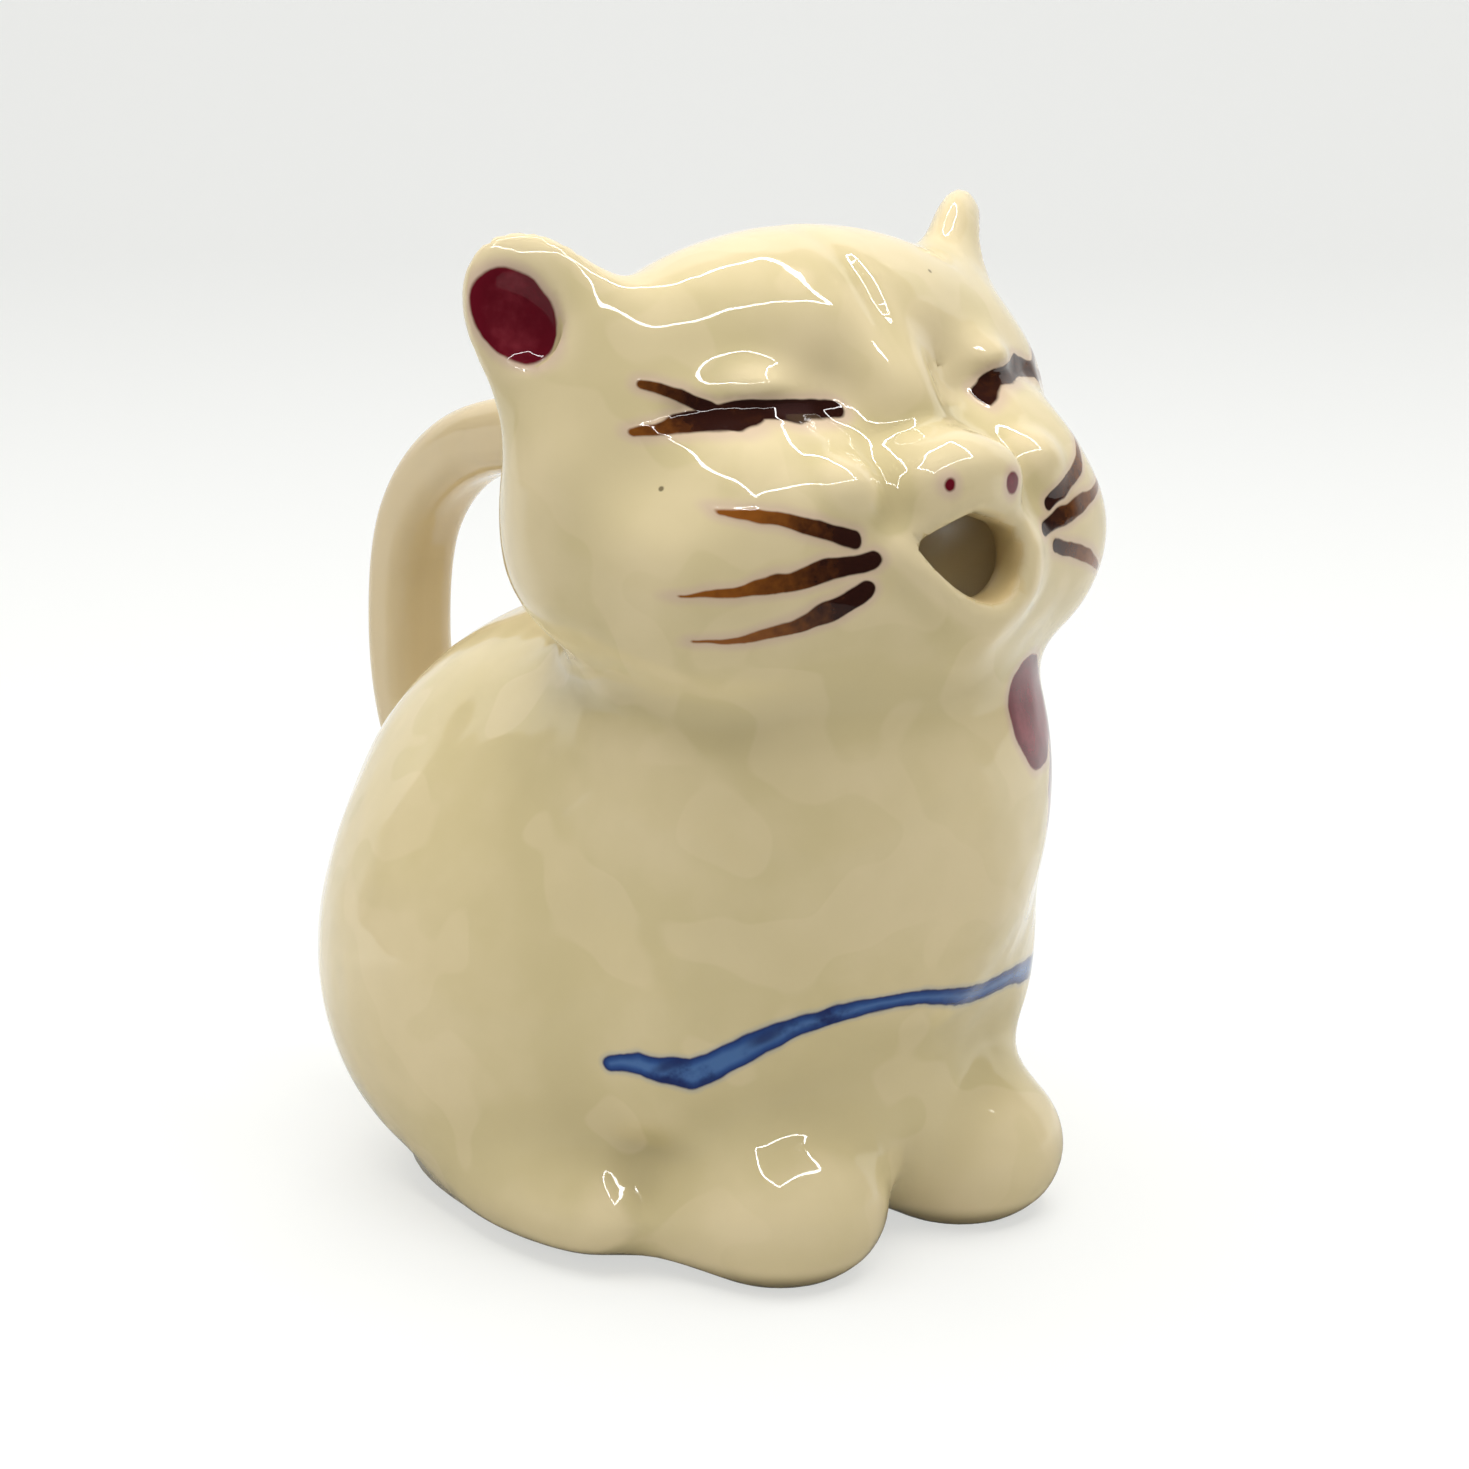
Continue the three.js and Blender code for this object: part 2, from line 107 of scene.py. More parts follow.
SPOUT_HALF_WIDTH = 7.4
SPOUT_TOP = 90.0
SPOUT_CORNERS = 87.1
SPOUT_BOTTOM = 79.6
SPOUT_SHIFT = -1.2
SPOUT_LEAN = 3.0
SPOUT_TIP = 0.6
SPOUT_POINT = 0.2
SPOUT_RIM = 1.6
SPOUT_END = -30
LIP_RADIUS = 2.0
LIP_OVERHANG = 0.6
LIP_SINK = 0.7
LIP_FOLD = 3.5
LIP_TOP = 89.0
LIP_FADE = 5.0

EAR_DISH_HALF = (4.4, 2.6, 6.0)
EAR_DISH_CENTRE = (2.0, -3.6, 5.1)
EAR_DISH_RIM = 1.2

FILL_WIDTH = 32
FILL_HEIGHT = 20
FILL_TILT = 50
FILL_DEPTH = 12
FILL_RIM = 2.4

RECESS_CENTRE = (0, 1)
RECESS_HALF = (23, 20)
RECESS_DEPTH = 1.2
RECESS_RIM = 0.6


def turned(points, yaw, lean):
    """Points seen from a form that is turned about Z by yaw and tipped sideways by lean."""
    x, y, z = points.T
    cos_yaw, sin_yaw = math.cos(math.radians(yaw)), math.sin(math.radians(yaw))
    x, y = x * cos_yaw + y * sin_yaw, y * cos_yaw - x * sin_yaw
    cos_lean, sin_lean = math.cos(math.radians(lean)), math.sin(math.radians(lean))
    x, z = x * cos_lean - z * sin_lean, x * sin_lean + z * cos_lean
    return np.stack([x, y, z], axis=1)


def mirrored(points):
    """The points with both sides of the cat folded onto its left side."""
    return np.column_stack([np.abs(points[:, 0]), points[:, 1:]])


def ellipsoid(points, centre, half, paired=False, yaw=0, lean=0, fold=0):
    """About the distance to an ellipsoid's skin, negative inside it."""
    local = (mirrored(points) if paired else points) - centre
    if yaw or lean:
        local = turned(local, yaw, lean)
    half = np.array(half, float)
    level = np.linalg.norm(local / half, axis=1)
    slope = np.linalg.norm(local / half ** 2, axis=1)
    return level * (level - 1) / np.maximum(slope, 1e-9)


def rounded(away, half, corner):
    """The distance to a block with round edges, from how far a point is off its centre each way."""
    beyond = np.abs(away) - (np.array(half) - corner)
    return np.linalg.norm(np.maximum(beyond, 0), axis=1) + np.minimum(beyond.max(axis=1), 0) - corner


def blend(first, second, fold):
    """The join of two forms, with a soft fold between them."""
    overlap = np.maximum(fold - np.abs(first - second), 0) / fold
    return np.minimum(first, second) - overlap ** 2 * fold / 4


def carve(form, cutter, fold):
    """The form without the cutter, with a rounded rim."""
    return -blend(-form, cutter, fold)


def joined(points, skin, forms):
    """A skin with more forms joined to it one after another, each with its own fold."""
    for form in forms:
        skin = blend(skin, ellipsoid(points, **form), form["fold"])
    return skin


def skull(points):
    """The cranium, pressed a little flat at the cat's right temple."""
    tilt, turn = math.radians(TEMPLE_TILT), math.radians(TEMPLE_TURN)
    facing = np.array(
        [-math.sin(tilt) * math.sin(turn), -math.sin(tilt) * math.cos(turn), math.cos(tilt)])
    reach = np.linalg.norm(facing * CRANIUM["half"]) - TEMPLE_DEPTH
    beyond = (points - CRANIUM["centre"]) @ facing - reach
    return carve(ellipsoid(points, **CRANIUM), -beyond, TEMPLE_FOLD)


def swelling(points, centre, reach, height):
    """How far the clay stands out near a point on each side of the cat."""
    away = (mirrored(points) - centre) / reach
    return height * np.exp(-(away ** 2).sum(axis=1))


def crease(points, line, width, depth):
    """How deep a drawn line presses into the front of the cat, on each side."""
    front = mirrored(points)[:, [0, 2]]
    nearest = np.full(len(points), 1e9)
    for start, end in zip(line, line[1:]):
        start, along = np.array(start, float), np.subtract(end, start)
        share = np.clip((front - start) @ along / (along @ along), 0, 1)
        nearest = np.minimum(nearest, np.linalg.norm(front - start - share[:, None] * along, axis=1))
    faces_front = np.clip((CREASE_FRONT - points[:, 1]) / CREASE_FADE, 0, 1)
    return depth * np.exp(-(nearest / width) ** 2) * faces_front


def main_forms(points, body_forms, head_forms):
    """The seated body, whose sides run straight down to the foot, and the head on it."""
    level = points.copy()
    level[:, 2] = np.maximum(level[:, 2], FOOT_CHAMFER)
    body = joined(level, ellipsoid(level, **RUMP), body_forms)
    return blend(body, joined(points, skull(points), head_forms), NECK_FOLD)


def mouth_edge(points):
    """How far a point is outside the mouth: a low gable over a bowl that leans a little."""
    height = points[:, 2] - SPOUT_CORNERS
    fall, rise = SPOUT_CORNERS - SPOUT_BOTTOM, SPOUT_TOP - SPOUT_CORNERS
    middle = SPOUT_SHIFT + SPOUT_LEAN * np.clip(-height / fall, 0, 1)
    side = np.hypot(points[:, 0] - middle, SPOUT_TIP)
    bowl = (np.hypot(side / SPOUT_HALF_WIDTH, height / fall) - 1) * fall
    point = (fall * side - SPOUT_HALF_WIDTH * (height + fall)) / np.hypot(fall, SPOUT_HALF_WIDTH)
    gable = (rise * side + SPOUT_HALF_WIDTH * (height - rise)) / np.hypot(rise, SPOUT_HALF_WIDTH)
    return carve(bowl * (1 - SPOUT_POINT) + point * SPOUT_POINT, -gable, SPOUT_RIM)


def lip(points, skin):
    """The rolled lip: a bead on the skin along the lower edge of the mouth."""
    shrinking = np.clip((points[:, 2] - LIP_TOP) / LIP_FADE + 1, 0, 1) ** 2 * LIP_RADIUS
    bead = np.hypot(mouth_edge(points) - LIP_RADIUS * LIP_OVERHANG, skin + LIP_SINK) - LIP_RADIUS
    return np.where(points[:, 1] < CHEEK["centre"][1], bead + shrinking, np.inf)


def outer_skin(points):
    """The whole outside of the casting, before its openings are cut."""
    skin = main_forms(
        points, [CHEST, THIGH, FORELEG, FOREPAW, HIND_PAW, WEB, FOOT], [JAW, CHEEK, MUZZLE, BRIDGE, EAR])
    skin = blend(skin, rounded(points - NOSE_CENTRE, NOSE_HALF, NOSE_CORNER), NOSE_FOLD)
    skin = joined(points, skin, [NOSE_TOP, CHEEK_BUMP])
    skin = blend(skin, lip(points, skin), LIP_FOLD)
    dish = turned(mirrored(points) - EAR["centre"], EAR["yaw"], EAR["lean"])
    skin = carve(skin, ellipsoid(dish, EAR_DISH_CENTRE, EAR_DISH_HALF), EAR_DISH_RIM)
    for centre, reach, height in SWELLINGS.values():
        skin = skin - swelling(points, centre, reach, height)
    for line, width, depth in CREASES.values():
        skin = skin + crease(points, line, width, depth)
    turned_in = FOOT_CHAMFER - points[:, 2]
    skin = skin + (turned_in + np.hypot(turned_in, FOOT_ROUND)) / 2
    return carve(skin, points[:, 2], SHARP_EDGE)


def inner_skin(points):
    """The drained hollow, one wall in from the main forms."""
    skin = main_forms(points, [CHEST, THIGH, FOOT], [JAW, CHEEK, MUZZLE])
    return np.maximum(skin, -points[:, 2]) + WALL


def spout_passage(points):
    """The mouth, which runs back into the hollow."""
    return np.maximum(mouth_edge(points), points[:, 1] - SPOUT_END)


def fill_passage(points):
    """The filling oval, which stands square to the skin behind the crown."""
    tilt = math.radians(FILL_TILT)
    _, depth, height = CRANIUM["half"]
    away = points - np.add(CRANIUM["centre"], (0, depth * math.sin(tilt), height * math.cos(tilt)))
    up_slope = away[:, 1] * math.cos(tilt) - away[:, 2] * math.sin(tilt)
    along = away[:, 1] * math.sin(tilt) + away[:, 2] * math.cos(tilt)
    level = np.hypot(away[:, 0] / (FILL_WIDTH / 2), up_slope / (FILL_HEIGHT / 2))
    oval = (level - 1) * FILL_HEIGHT / 2
    return np.maximum(oval, np.abs(along) - FILL_DEPTH)


def casting(points):
    """The fired wall: the outside without the hollow, the spout, the oval and the foot recess."""
    clay = carve(outer_skin(points), inner_skin(points), SHARP_EDGE)
    clay = carve(clay, spout_passage(points), SPOUT_RIM)
    clay = carve(clay, fill_passage(points), FILL_RIM)
    level = np.linalg.norm((points[:, :2] - RECESS_CENTRE) / RECESS_HALF, axis=1)
    recess = np.maximum((level - 1) * min(RECESS_HALF), points[:, 2] - RECESS_DEPTH)
    return carve(clay, recess, RECESS_RIM)


# The clay is sampled on a grid, and each vertex is then drawn onto the surface.

CELL_CORNERS = [(i, j, k) for i in (0, 1) for j in (0, 1) for k in (0, 1)]
DENT_REACH = 2.5
SKIN_REACH = 0.6


def sampled_skin(field, low, high, step):
    """Vertices and quads where the field is zero, with one vertex for each cell it crosses."""
    lines = [np.arange(low[axis], high[axis] + step, step) for axis in range(3)]
    shape = tuple(len(line) for line in lines)
    nodes = np.stack(np.meshgrid(*lines, indexing="ij"), axis=-1)
    values = np.empty(shape)
    for layer in range(shape[0]):
        values[layer] = field(nodes[layer].reshape(-1, 3)).reshape(shape[1:])
    inside = values < 0

    def shifted(grid, corner):
        return grid[tuple(slice(on, size - 1 + on) for on, size in zip(corner, shape))]

    count = sum(shifted(inside, corner).astype(int) for corner in CELL_CORNERS)
    crossed = (count > 0) & (count < 8)
    number = np.full(crossed.shape, -1)
    number[crossed] = np.arange(crossed.sum())
    total = np.zeros((crossed.sum(), 3))
    hits = np.zeros(crossed.sum())
    for corner in CELL_CORNERS:
        for axis in range(3):
            if corner[axis]:
                continue
            other = tuple(value + (index == axis) for index, value in enumerate(corner))
            first, second = shifted(values, corner)[crossed], shifted(values, other)[crossed]
            crossing = (first < 0) != (second < 0)
            share = np.where(crossing, first / np.where(crossing, first - second, 1), 0)
            place = np.tile(np.array(corner, float), (len(share), 1))
            place[:, axis] += share
            total[crossing] += place[crossing]
            hits[crossing] += 1
    first_node = np.array([line[0] for line in lines])
    vertices = first_node + step * (np.argwhere(crossed) + total / hits[:, None])

    quads = []
    for axis in range(3):
        left, right = (axis + 1) % 3, (axis + 2) % 3
        span = [slice(1, -1)] * 3
        span[axis] = slice(0, shape[axis] - 1)
        ahead = list(span)
        ahead[axis] = slice(1, shape[axis])
        here, there = inside[tuple(span)], inside[tuple(ahead)]
        edges = np.argwhere(here != there)
        edges[:, left] += 1
        edges[:, right] += 1
        ring = []
        for back_left, back_right in ((1, 1), (0, 1), (0, 0), (1, 0)):
            cell = edges.copy()
            cell[:, left] -= back_left
            cell[:, right] -= back_right
            ring.append(number[tuple(cell.T)])
        ring = np.stack(ring, axis=1)
        leaving = here[here != there]
        ring[~leaving] = ring[~leaving][:, ::-1]
        quads.append(ring)
    return vertices, np.concatenate(quads)


def slope_of(field, points):
    """The field's gradient at the points."""
    reach = 0.05
    rises = [field(points + step) - field(points - step) for step in np.eye(3) * reach]
    return np.stack(rises, axis=1) / (2 * reach)


def drawn_onto(field, points, passes=3):
    """The points moved onto the surface where the field is zero."""
    for _ in range(passes):
        slope = slope_of(field, points)
        steepness = np.maximum((slope ** 2).sum(axis=1), 0.2)
        points = points - slope * (np.clip(field(points), -1, 1) / steepness)[:, None]
    return points


def clay_piece(name, field, skin, low, high, step):
    """A mesh object of the surface where the field is zero.

    Its vertices carry how deep they lie in a dent, and whether they are on the outer skin.
    """
    vertices, quads = sampled_skin(field, low, high, step)
    vertices = drawn_onto(field, vertices)
    mesh = bpy.data.meshes.new(name)
    mesh.from_pydata((vertices * MM).tolist(), [], quads.tolist())
    mesh.shade_smooth()
    # The dent mark darkens the glaze in dents and creases: partly pooled glaze, partly painted shade.
    around = sum(field(vertices + away) + field(vertices - away) for away in np.eye(3) * DENT_REACH)
    outside = np.abs(skin(vertices)) < SKIN_REACH
    marks = {"pool_and_shade": np.clip(-around / DENT_REACH, -1, 1), "outside": outside.astype(float)}
    for attribute, values in marks.items():
        mesh.attributes.new(attribute, "FLOAT", "POINT").data.foreach_set("value", values)
    piece = bpy.data.objects.new(name, mesh)
    bpy.context.collection.objects.link(piece)
    return piece


BODY_LOW = (-46, -60, -2)
BODY_HIGH = (46, 45, 122)
BODY_STEP = 1.1

body = clay_piece("glazed_body", casting, outer_skin, BODY_LOW, BODY_HIGH, BODY_STEP)


class Wire:
    """A shader value that takes part in sums and products like a number."""

    def __init__(self, shader, socket):
        self.shader = shader
        self.socket = socket

    def math(self, operation, *values):
        return self.shader.node("ShaderNodeMath", {"operation": operation}, dict(enumerate(values)))

    def __add__(self, other):
        return self.math("ADD", self, other)

    def __sub__(self, other):
        return self.math("SUBTRACT", self, other)

    def __rsub__(self, other):
        return self.math("SUBTRACT", other, self)

    def __mul__(self, other):
        return self.math("MULTIPLY", self, other)

    def __truediv__(self, other):
        return self.math("DIVIDE", self, other)

    __radd__ = __add__
    __rmul__ = __mul__

    def least(self, other):
        return self.math("MINIMUM", self, other)

    def most(self, other):
        return self.math("MAXIMUM", self, other)

    def clamped(self):
        return self.shader.node("ShaderNodeClamp", {}, {0: self})

    def ramp(self, low, high):
        """0 at low and 1 at high, with a smooth rise between them; low may be the larger."""
        return self.shader.node(
            "ShaderNodeMapRange", {"interpolation_type": "SMOOTHSTEP"}, {0: self, 1: low, 2: high})


class Shader:
    """A node tree that is built by calls, one for each node."""

    def __init__(self, owner, surface="Principled BSDF"):
        owner.use_nodes = True
        self.owner = owner
        self.tree = owner.node_tree
        self.surface = self.tree.nodes[surface]

    def node(self, kind, settings, values, output=0):
        """Adds a node, sets it up, fills or links its sockets and gives one of its outputs."""
        new = self.tree.nodes.new(kind)
        for name, value in settings.items():
            setattr(new, name, value)
        for name, value in values.items():
            self.feed(new.inputs[name], value)
        return Wire(self, new.outputs[output])

    def feed(self, socket, value):
        if isinstance(value, Wire):
            self.tree.links.new(value.socket, socket)
        else:
            socket.default_value = value

    def vector(self, operation, *values, output=0):
        return self.node("ShaderNodeVectorMath", {"operation": operation}, dict(enumerate(values)), output)

    def along(self, vector, direction):
        """How far a vector reaches along a direction."""
        return self.vector("DOT_PRODUCT", vector, tuple(direction), output=1)

    def scaled(self, vector, factor):
        result = self.vector("SCALE", vector)
        self.feed(result.socket.node.inputs["Scale"], factor)
        return result

    def parts(self, vector):
        """The x, y and z of a vector."""
        node = self.node("ShaderNodeSeparateXYZ", {}, {0: vector}).socket.node
        return [Wire(self, node.outputs[axis]) for axis in range(3)]

    def spot(self, across, up):
        """A place on a flat drawing."""
        return self.node("ShaderNodeCombineXYZ", {}, {0: across, 1: up})

    def painted(self, under, over, share):
        """One colour brushed over another, by a share from 0 to 1."""
        return self.node("ShaderNodeMix", {"data_type": "RGBA"}, {0: share, 6: under, 7: over}, output=2)

    def noise(self, place, scale, detail=2.0, output=0):
        """Soft random variation from 0 to 1, with scale patches to a millimetre."""
        values = {"Vector": place, "Scale": scale, "Detail": detail}
        return self.node("ShaderNodeTexNoise", {}, values, output)


def paint(red, green, blue):
    """A colour as it is seen, from 0 to 255, for a shader."""
    shares = [value / 255 for value in (red, green, blue)]
    return tuple(s / 12.92 if s <= 0.04045 else ((s + 0.055) / 1.055) ** 2.4 for s in shares) + (1.0,)


CREAM = paint(202, 187, 144)
CREAM_THIN = paint(220, 203, 166)
CREAM_POOLED_AND_SHADED = paint(184, 169, 126)
HOLLOW_PAINTED_LIGHT = paint(206, 180, 124)
FOOT_PAINTED_SHADE = paint(142, 126, 88)
DRY_CLAY = paint(168, 154, 118)
IRON_DARK = paint(40, 14, 8)
IRON_LIGHT = paint(132, 76, 24)
IRON_PAINTED_SHEEN = paint(68, 44, 44)
CRIMSON = paint(96, 8, 26)
CRIMSON_LIGHT = paint(132, 42, 54)
COBALT_DARK = paint(10, 30, 84)
COBALT = paint(28, 64, 126)
COBALT_LIGHT = paint(84, 122, 172)
BLEED = paint(196, 168, 158)
SPECK = paint(84, 70, 46)

CLOUD_PATCH = 22
DRIFT_PATCH = 7
LAP_PATCH = 13
GRAIN_PATCH = 1.1
RIPPLE_PATCH = 9
RIPPLE_DEPTH = 0.5
WAVER_SCALE = 0.22
WAVER_REACH = 1.1
SPECK_SCALE = 0.075
GLOSS = 0.04
HOLLOW_ROUGHNESS = 0.3
DRY_ROUGHNESS = 0.6

# Brown strokes on each side of the face: how thin the paint is at the start and the end of
# each, and its marks as (sideways, up, radius) in millimetres.

RIGHT_STROKES = [
    (0.0, 0.2, [(8.8, 100.5, 0.90), (14.8, 101.0, 1.20), (18.8, 101.3, 0.96), (22.0, 100.5, 1.14)]),
    (0.0, 0.5, [(21.8, 100.7, 0.90), (24.7, 102.9, 0.72), (27.9, 104.0, 0.48)]),
    (0.0, 0.6, [(21.8, 100.5, 1.02), (25.5, 100.0, 0.78), (29.9, 99.1, 0.42)]),
    (0.1, 1.0, [(15.9, 88.5, 0.96), (21.5, 90.5, 0.90), (25.2, 91.6, 0.72), (27.9, 91.9, 0.24)]),
    (0.0, 1.0, [
        (14.0, 86.1, 1.02), (19.0, 85.6, 1.20), (25.3, 84.4, 1.06), (29.6, 83.5, 0.50), (32.5, 83.1, 0.14)]),
    (0.0, 1.0, [
        (15.0, 83.0, 1.08), (19.0, 81.1, 1.26), (23.4, 79.4, 0.90), (27.4, 78.4, 0.48), (31.1, 78.0, 0.14)]),
]
LEFT_STROKES = [
    (0.2, 0.3, [(12.9, 99.9, 0.85), (16.8, 101.4, 1.05), (22.8, 101.8, 1.10), (28.0, 100.6, 0.95)]),
    (0.3, 0.6, [(28.0, 100.6, 0.80), (30.0, 101.6, 0.70), (33.0, 102.6, 0.40)]),
    (0.3, 0.8, [(28.0, 100.0, 0.90), (30.5, 99.4, 0.75), (34.0, 98.4, 0.40)]),
    (0.1, 0.7, [(13.8, 88.7, 0.84), (16.6, 89.8, 1.08), (20.9, 91.9, 0.96), (24.5, 94.5, 0.24)]),
    (0.1, 0.7, [(12.4, 86.1, 0.85), (15.6, 86.8, 1.05), (21.2, 87.8, 1.02), (27.5, 89.0, 0.24)]),
    (0.2, 0.8, [(14.2, 83.9, 0.75), (17.4, 83.2, 0.95), (21.8, 81.4, 0.90), (26.1, 79.3, 0.24)]),
]

# Red spots as centre, half size and lean: the nostrils, the dish of the ear, and the bow's
# loops and knot. The bow and the band lie on the chest, unrolled about an upright axis.

RIGHT_NOSTRIL = ((5.2, 93.6), (0.62, 0.68), 0)
LEFT_NOSTRIL = ((4.0, 92.8), (1.15, 1.2), 0)
EAR_PATCH = ((4.6, 3.0), (4.2, 5.7), -EAR["lean"])
CHEST_AXIS_Y = -10
CHEST_RADIUS = 39
BOW_LOOPS = [((14.8, 63.6), (6.1, 6.9), 24), ((30.4, 63.8), (6.1, 6.6), -30)]
BOW_KNOT = ((22.5, 59.6), (2.4, 2.3), 0)
BOW_TAILS = [
    [(21.4, 57.6, 1.4), (20.3, 53.2, 2.2), (19.8, 49.2, 1.0)],
    [(23.8, 57.4, 1.3), (26.2, 53.4, 1.8), (28.6, 50.0, 0.9)],
]
BAND_MARKS = [
    (-39.6, 26.6, 1.05), (-36, 27.2, 1.4), (-33, 26.7, 1.7), (-30, 26.3, 1.9), (-26.3, 27.9, 1.8),
    (-22.3, 29.8, 1.6), (-17.6, 31.4, 1.35), (-11.7, 32.7, 1.2), (-8.1, 33.1, 1.1), (-2.8, 33.0, 1.05),
    (1.5, 32.0, 1.1), (5.2, 30.9, 1.15), (10.7, 30.0, 1.2), (19.3, 29.3, 1.3), (28, 28, 1.5),
    (35, 27.4, 1.3), (39.6, 27, 0.9),
]
BAND_BLOTS = [((-32.4, 27.4), (1.8, 0.7), 20), ((-21.6, 30.4), (1.9, 0.7), 20)]


def segment(glaze, spot, start, end):
    """The gap from a spot to a tapered line between two marks, and the share along it."""
    along = np.subtract(end, start)
    span = along[:2] @ along[:2]
    away = glaze.vector("SUBTRACT", spot, (start[0], start[1], 0.0))
    share = glaze.along(away, (along[0] / span, along[1] / span, 0.0)).clamped()
    foot = glaze.scaled((along[0], along[1], 0.0), share)
    gap = glaze.vector("DISTANCE", away, foot, output=1)
    return gap - (share * along[2] + start[2]), share


def brushed(glaze, spot, marks):
    """The gap from a brush stroke through its marks, and how far along the stroke a spot lies."""
    gap, along = segment(glaze, spot, marks[0], marks[1])
    for step, (start, end) in enumerate(zip(marks[1:], marks[2:]), 1):
        next_gap, share = segment(glaze, spot, start, end)
        nearer = (gap - next_gap).ramp(-0.2, 0.2)
        along = along * (1 - nearer) + (share + step) * nearer
        gap = gap.least(next_gap)
    return gap, along / (len(marks) - 1)


def oval_gap(glaze, spot, centre, half, lean):
    """The gap in millimetres from a leaning oval patch of paint."""
    lean = math.radians(lean)
    away = glaze.vector("SUBTRACT", spot, (centre[0], centre[1], 0.0))
    wide = glaze.along(away, (math.cos(lean) / half[0], math.sin(lean) / half[0], 0.0))
    tall = glaze.along(away, (-math.sin(lean) / half[1], math.cos(lean) / half[1], 0.0))
    return (glaze.vector("LENGTH", glaze.spot(wide, tall), output=1) - 1) * min(half)


def closest(gaps):
    """The gap from the nearest of several patches or strokes."""
    nearest = gaps[0]
    for gap in gaps[1:]:
        nearest = nearest.least(gap)
    return nearest


class CreamGlaze(Shader):
    """The gloss glaze on cream clay, with the colour and the relief that it has so far."""

    def __init__(self, name):
        super().__init__(bpy.data.materials.new(name))
        self.place = self.scaled(self.node("ShaderNodeTexCoord", {}, {}, output="Object"), 1 / MM)
        self.outside = self.mark("outside")
        self.drift = self.noise(self.place, 1 / DRIFT_PATCH)
        self.grain = self.noise(self.place, 1 / GRAIN_PATCH)
        self.relief = self.noise(self.place, 1 / RIPPLE_PATCH, 1.0)
        pool_and_shade = self.mark("pool_and_shade")
        cloud = self.noise(self.place, 1 / CLOUD_PATCH, 3.0)
        lap = self.noise(self.place, 1 / LAP_PATCH, 1.0)
        # Cloudy darker patches of cream, and darker cream in dents and creases such as under the jaw: partly
        # pooled glaze, partly painted shade.
        self.colour = self.painted(CREAM, CREAM_POOLED_AND_SHADED, (cloud * 0.9 + pool_and_shade * 0.5).ramp(0.4, 1.15))
        self.brush(CREAM_THIN, (self.drift * 0.6 - pool_and_shade * 0.8).ramp(0.25, 0.85) * 0.6)
        self.brush(CREAM_THIN, lap.ramp(0.52, 0.55) * 0.3)

    def mark(self, name):
        """A value that the mesh carries at its vertices."""
        return self.node("ShaderNodeAttribute", {"attribute_name": name}, {}, output="Fac")

    def brush(self, over, share):
        """Brushes a colour over what is there."""
        self.colour = self.painted(self.colour, over, share)

    def ragged(self, gap, roughness):
        """A gap whose edge is frayed by the grain of the paint."""
        return gap + (self.grain - 0.5) * roughness

    def fired(self):
        """The finished material: specks, the hollow's painted light, painted shade at the foot, bare foot,
        gloss and ripples go on last.
        """
        cells = {"Vector": self.place, "Scale": SPECK_SCALE}
        cell = self.node("ShaderNodeTexVoronoi", {}, cells).socket.node
        rare = self.parts(Wire(self, cell.outputs["Color"]))[0].ramp(0.72, 0.74)
        self.brush(SPECK, Wire(self, cell.outputs["Distance"]).ramp(0.034, 0.018) * rare * 0.8)
        # Painted light: the inside takes a warmer cream that stands in for the light reaching the hollow.
        self.colour = self.painted(HOLLOW_PAINTED_LIGHT, self.colour, self.outside * 0.75 + 0.25)
        height = self.parts(self.place)[2]
        dry = height.ramp(0.3, 0.1)
        # Painted shade: the cream darkens over the lowest 4 mm towards the foot.
        self.brush(FOOT_PAINTED_SHADE, height.ramp(4.0, 1.2) * 0.7)
        self.brush(DRY_CLAY, dry)
        roughness = dry * DRY_ROUGHNESS + (1 - self.outside) * HOLLOW_ROUGHNESS + GLOSS
        ripples = {"Height": self.relief, "Strength": 1.0, "Distance": RIPPLE_DEPTH * MM}
        self.feed(self.surface.inputs["Base Color"], self.colour)
        self.feed(self.surface.inputs["Roughness"], roughness)
        self.feed(self.surface.inputs["Normal"], self.node("ShaderNodeBump", {}, ripples))
        return self.owner


